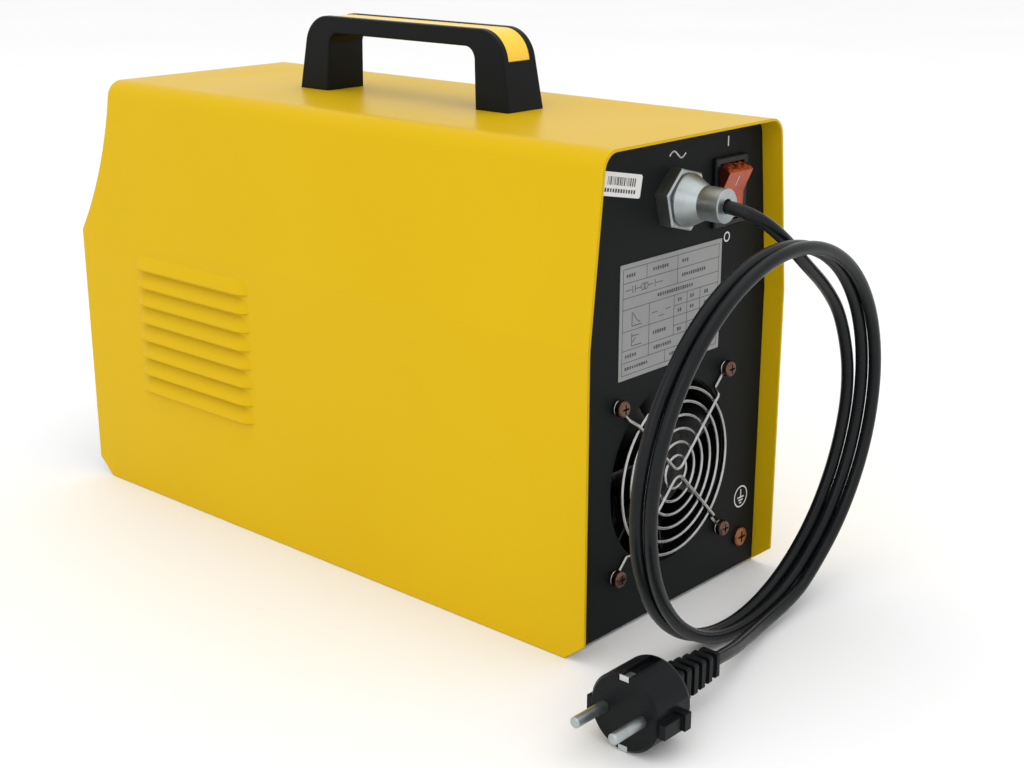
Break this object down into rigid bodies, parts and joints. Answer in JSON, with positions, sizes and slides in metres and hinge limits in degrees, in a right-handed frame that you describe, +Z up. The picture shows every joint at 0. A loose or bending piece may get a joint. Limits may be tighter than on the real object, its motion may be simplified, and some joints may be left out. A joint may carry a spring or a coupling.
{
  "type": "stick welding inverter",
  "caption": "Portable stick welding inverter in a folded yellow steel case with handle, louvres, rear fan and guard, mains switch, and coiled mains lead with plug.",
  "frame": {"origin": "on the floor under the middle of the case", "axes": "+Z up, front panel faces -Y, rear panel with the fan faces +Y, +X is on the right when looking at the front panel"},
  "size_m": [0.2303, 0.4498, 0.268],
  "materials": {
    "yellow_paint": "semi-gloss golden yellow powder coat on folded steel",
    "zinc_steel": "zinc-plated sheet",
    "zinc_screw": "bright zinc",
    "black_panel": "fine charcoal powder coat",
    "handle_black": "satin moulded plastic",
    "inlay_yellow": "smooth yellow plastic",
    "fan_black": "moulded glass-filled plastic",
    "copper": "enamelled copper",
    "chrome_wire": "bright plated wire",
    "bronze_screw": "bronze-plated",
    "copper_screw": "copper-plated",
    "tinned": "tinned contact metal",
    "nickel": "satin nickel plate",
    "rubber_black": "soft rubber",
    "switch_black": "moulded nylon",
    "rocker_orange": "translucent orange-red polycarbonate",
    "label_silver": "silver-grey printed film",
    "label_white": "white paper sticker",
    "pot_metal": "stamped metal",
    "lamp_green": "translucent lens",
    "lamp_amber": "translucent lens",
    "board_green": "solder-masked laminate",
    "brass": "turned brass",
    "aluminium": "extruded, mill finish",
    "chip_black": "moulded epoxy",
    "capacitor_sleeve": "shrink sleeve",
    "relay_case": "moulded case",
    "ferrite": "sintered ferrite",
    "wire_brown": "PVC insulation",
    "wire_green": "PVC insulation, green and yellow",
    "cord_black": "smooth PVC sheath",
    "plug_black": "moulded PVC"
  },
  "bodies": {
    "case": {"base_tray": "zinc_steel", "bridge_rectifier": "chip_black", "bus_bars": "copper", "capacitors": "capacitor_sleeve", "choke_core": "ferrite", "choke_winding": "copper", "control_board": "board_green", "cord_coil": "cord_black", "cord_lead": "cord_black", "cord_tail": "cord_black", "cover": "yellow_paint", "cover_screws": "zinc_screw", "earth_lug": "tinned", "earth_screw": "copper_screw", "earth_wire": "wire_green", "fan_frame": "fan_black", "fan_guard": "chrome_wire", "fan_motor": "copper", "fan_nuts": "zinc_screw", "fan_screws": "bronze_screw", "fault_lamp": "lamp_amber", "front_panel": "black_panel", "gland_body": "nickel", "gland_locknut": "nickel", "gland_nose": "nickel", "gland_seal": "rubber_black", "handle": "handle_black", "handle_inlay": "inlay_yellow", "handle_screws": "zinc_screw", "heatsink_feet": "fan_black", "heatsinks": "aluminium", "negative_socket_contact": "brass", "negative_socket_insulator": "switch_black", "plug_body": "plug_black", "plug_earth_strips": "tinned", "plug_pins": "nickel", "plug_strain_relief": "plug_black", "positive_socket_contact": "brass", "positive_socket_insulator": "switch_black", "pot_nut": "nickel", "potentiometer": "pot_metal", "power_board": "board_green", "power_lamp": "lamp_green", "power_transistors": "chip_black", "rating_label": "label_silver", "rear_panel": "black_panel", "serial_label": "label_white", "socket_nuts": "switch_black", "standoffs": "nickel", "start_relay": "relay_case", "switch_housing": "switch_black", "switch_terminals": "tinned", "switch_wires": "wire_brown", "terminal_nuts": "zinc_screw", "transformer_core": "ferrite", "transformer_winding": "copper"},
    "fan_rotor": {"fan_rotor": "fan_black"},
    "switch_rocker": {"switch_rocker": "rocker_orange"},
    "current_knob": {"current_knob": "handle_black", "knob_shaft": "pot_metal"}
  },
  "joints": [
    {"name": "fan_spin", "type": "hinge", "parent": "case", "child": "fan_rotor", "pos_m": [0, 0.16, 0.07], "axis": [0, 1, 0], "continuous": true},
    {"name": "switch_rock", "type": "hinge", "parent": "case", "child": "switch_rocker", "pos_m": [-0.038, 0.1735, 0.198], "axis": [1, 0, 0], "range_deg": [0, 26]},
    {"name": "knob_turn", "type": "hinge", "parent": "case", "child": "current_knob", "pos_m": [0, -0.16583, 0.17834], "axis": [0, -0.9659, 0.2588], "range_deg": [-150, 150]}
  ]
}
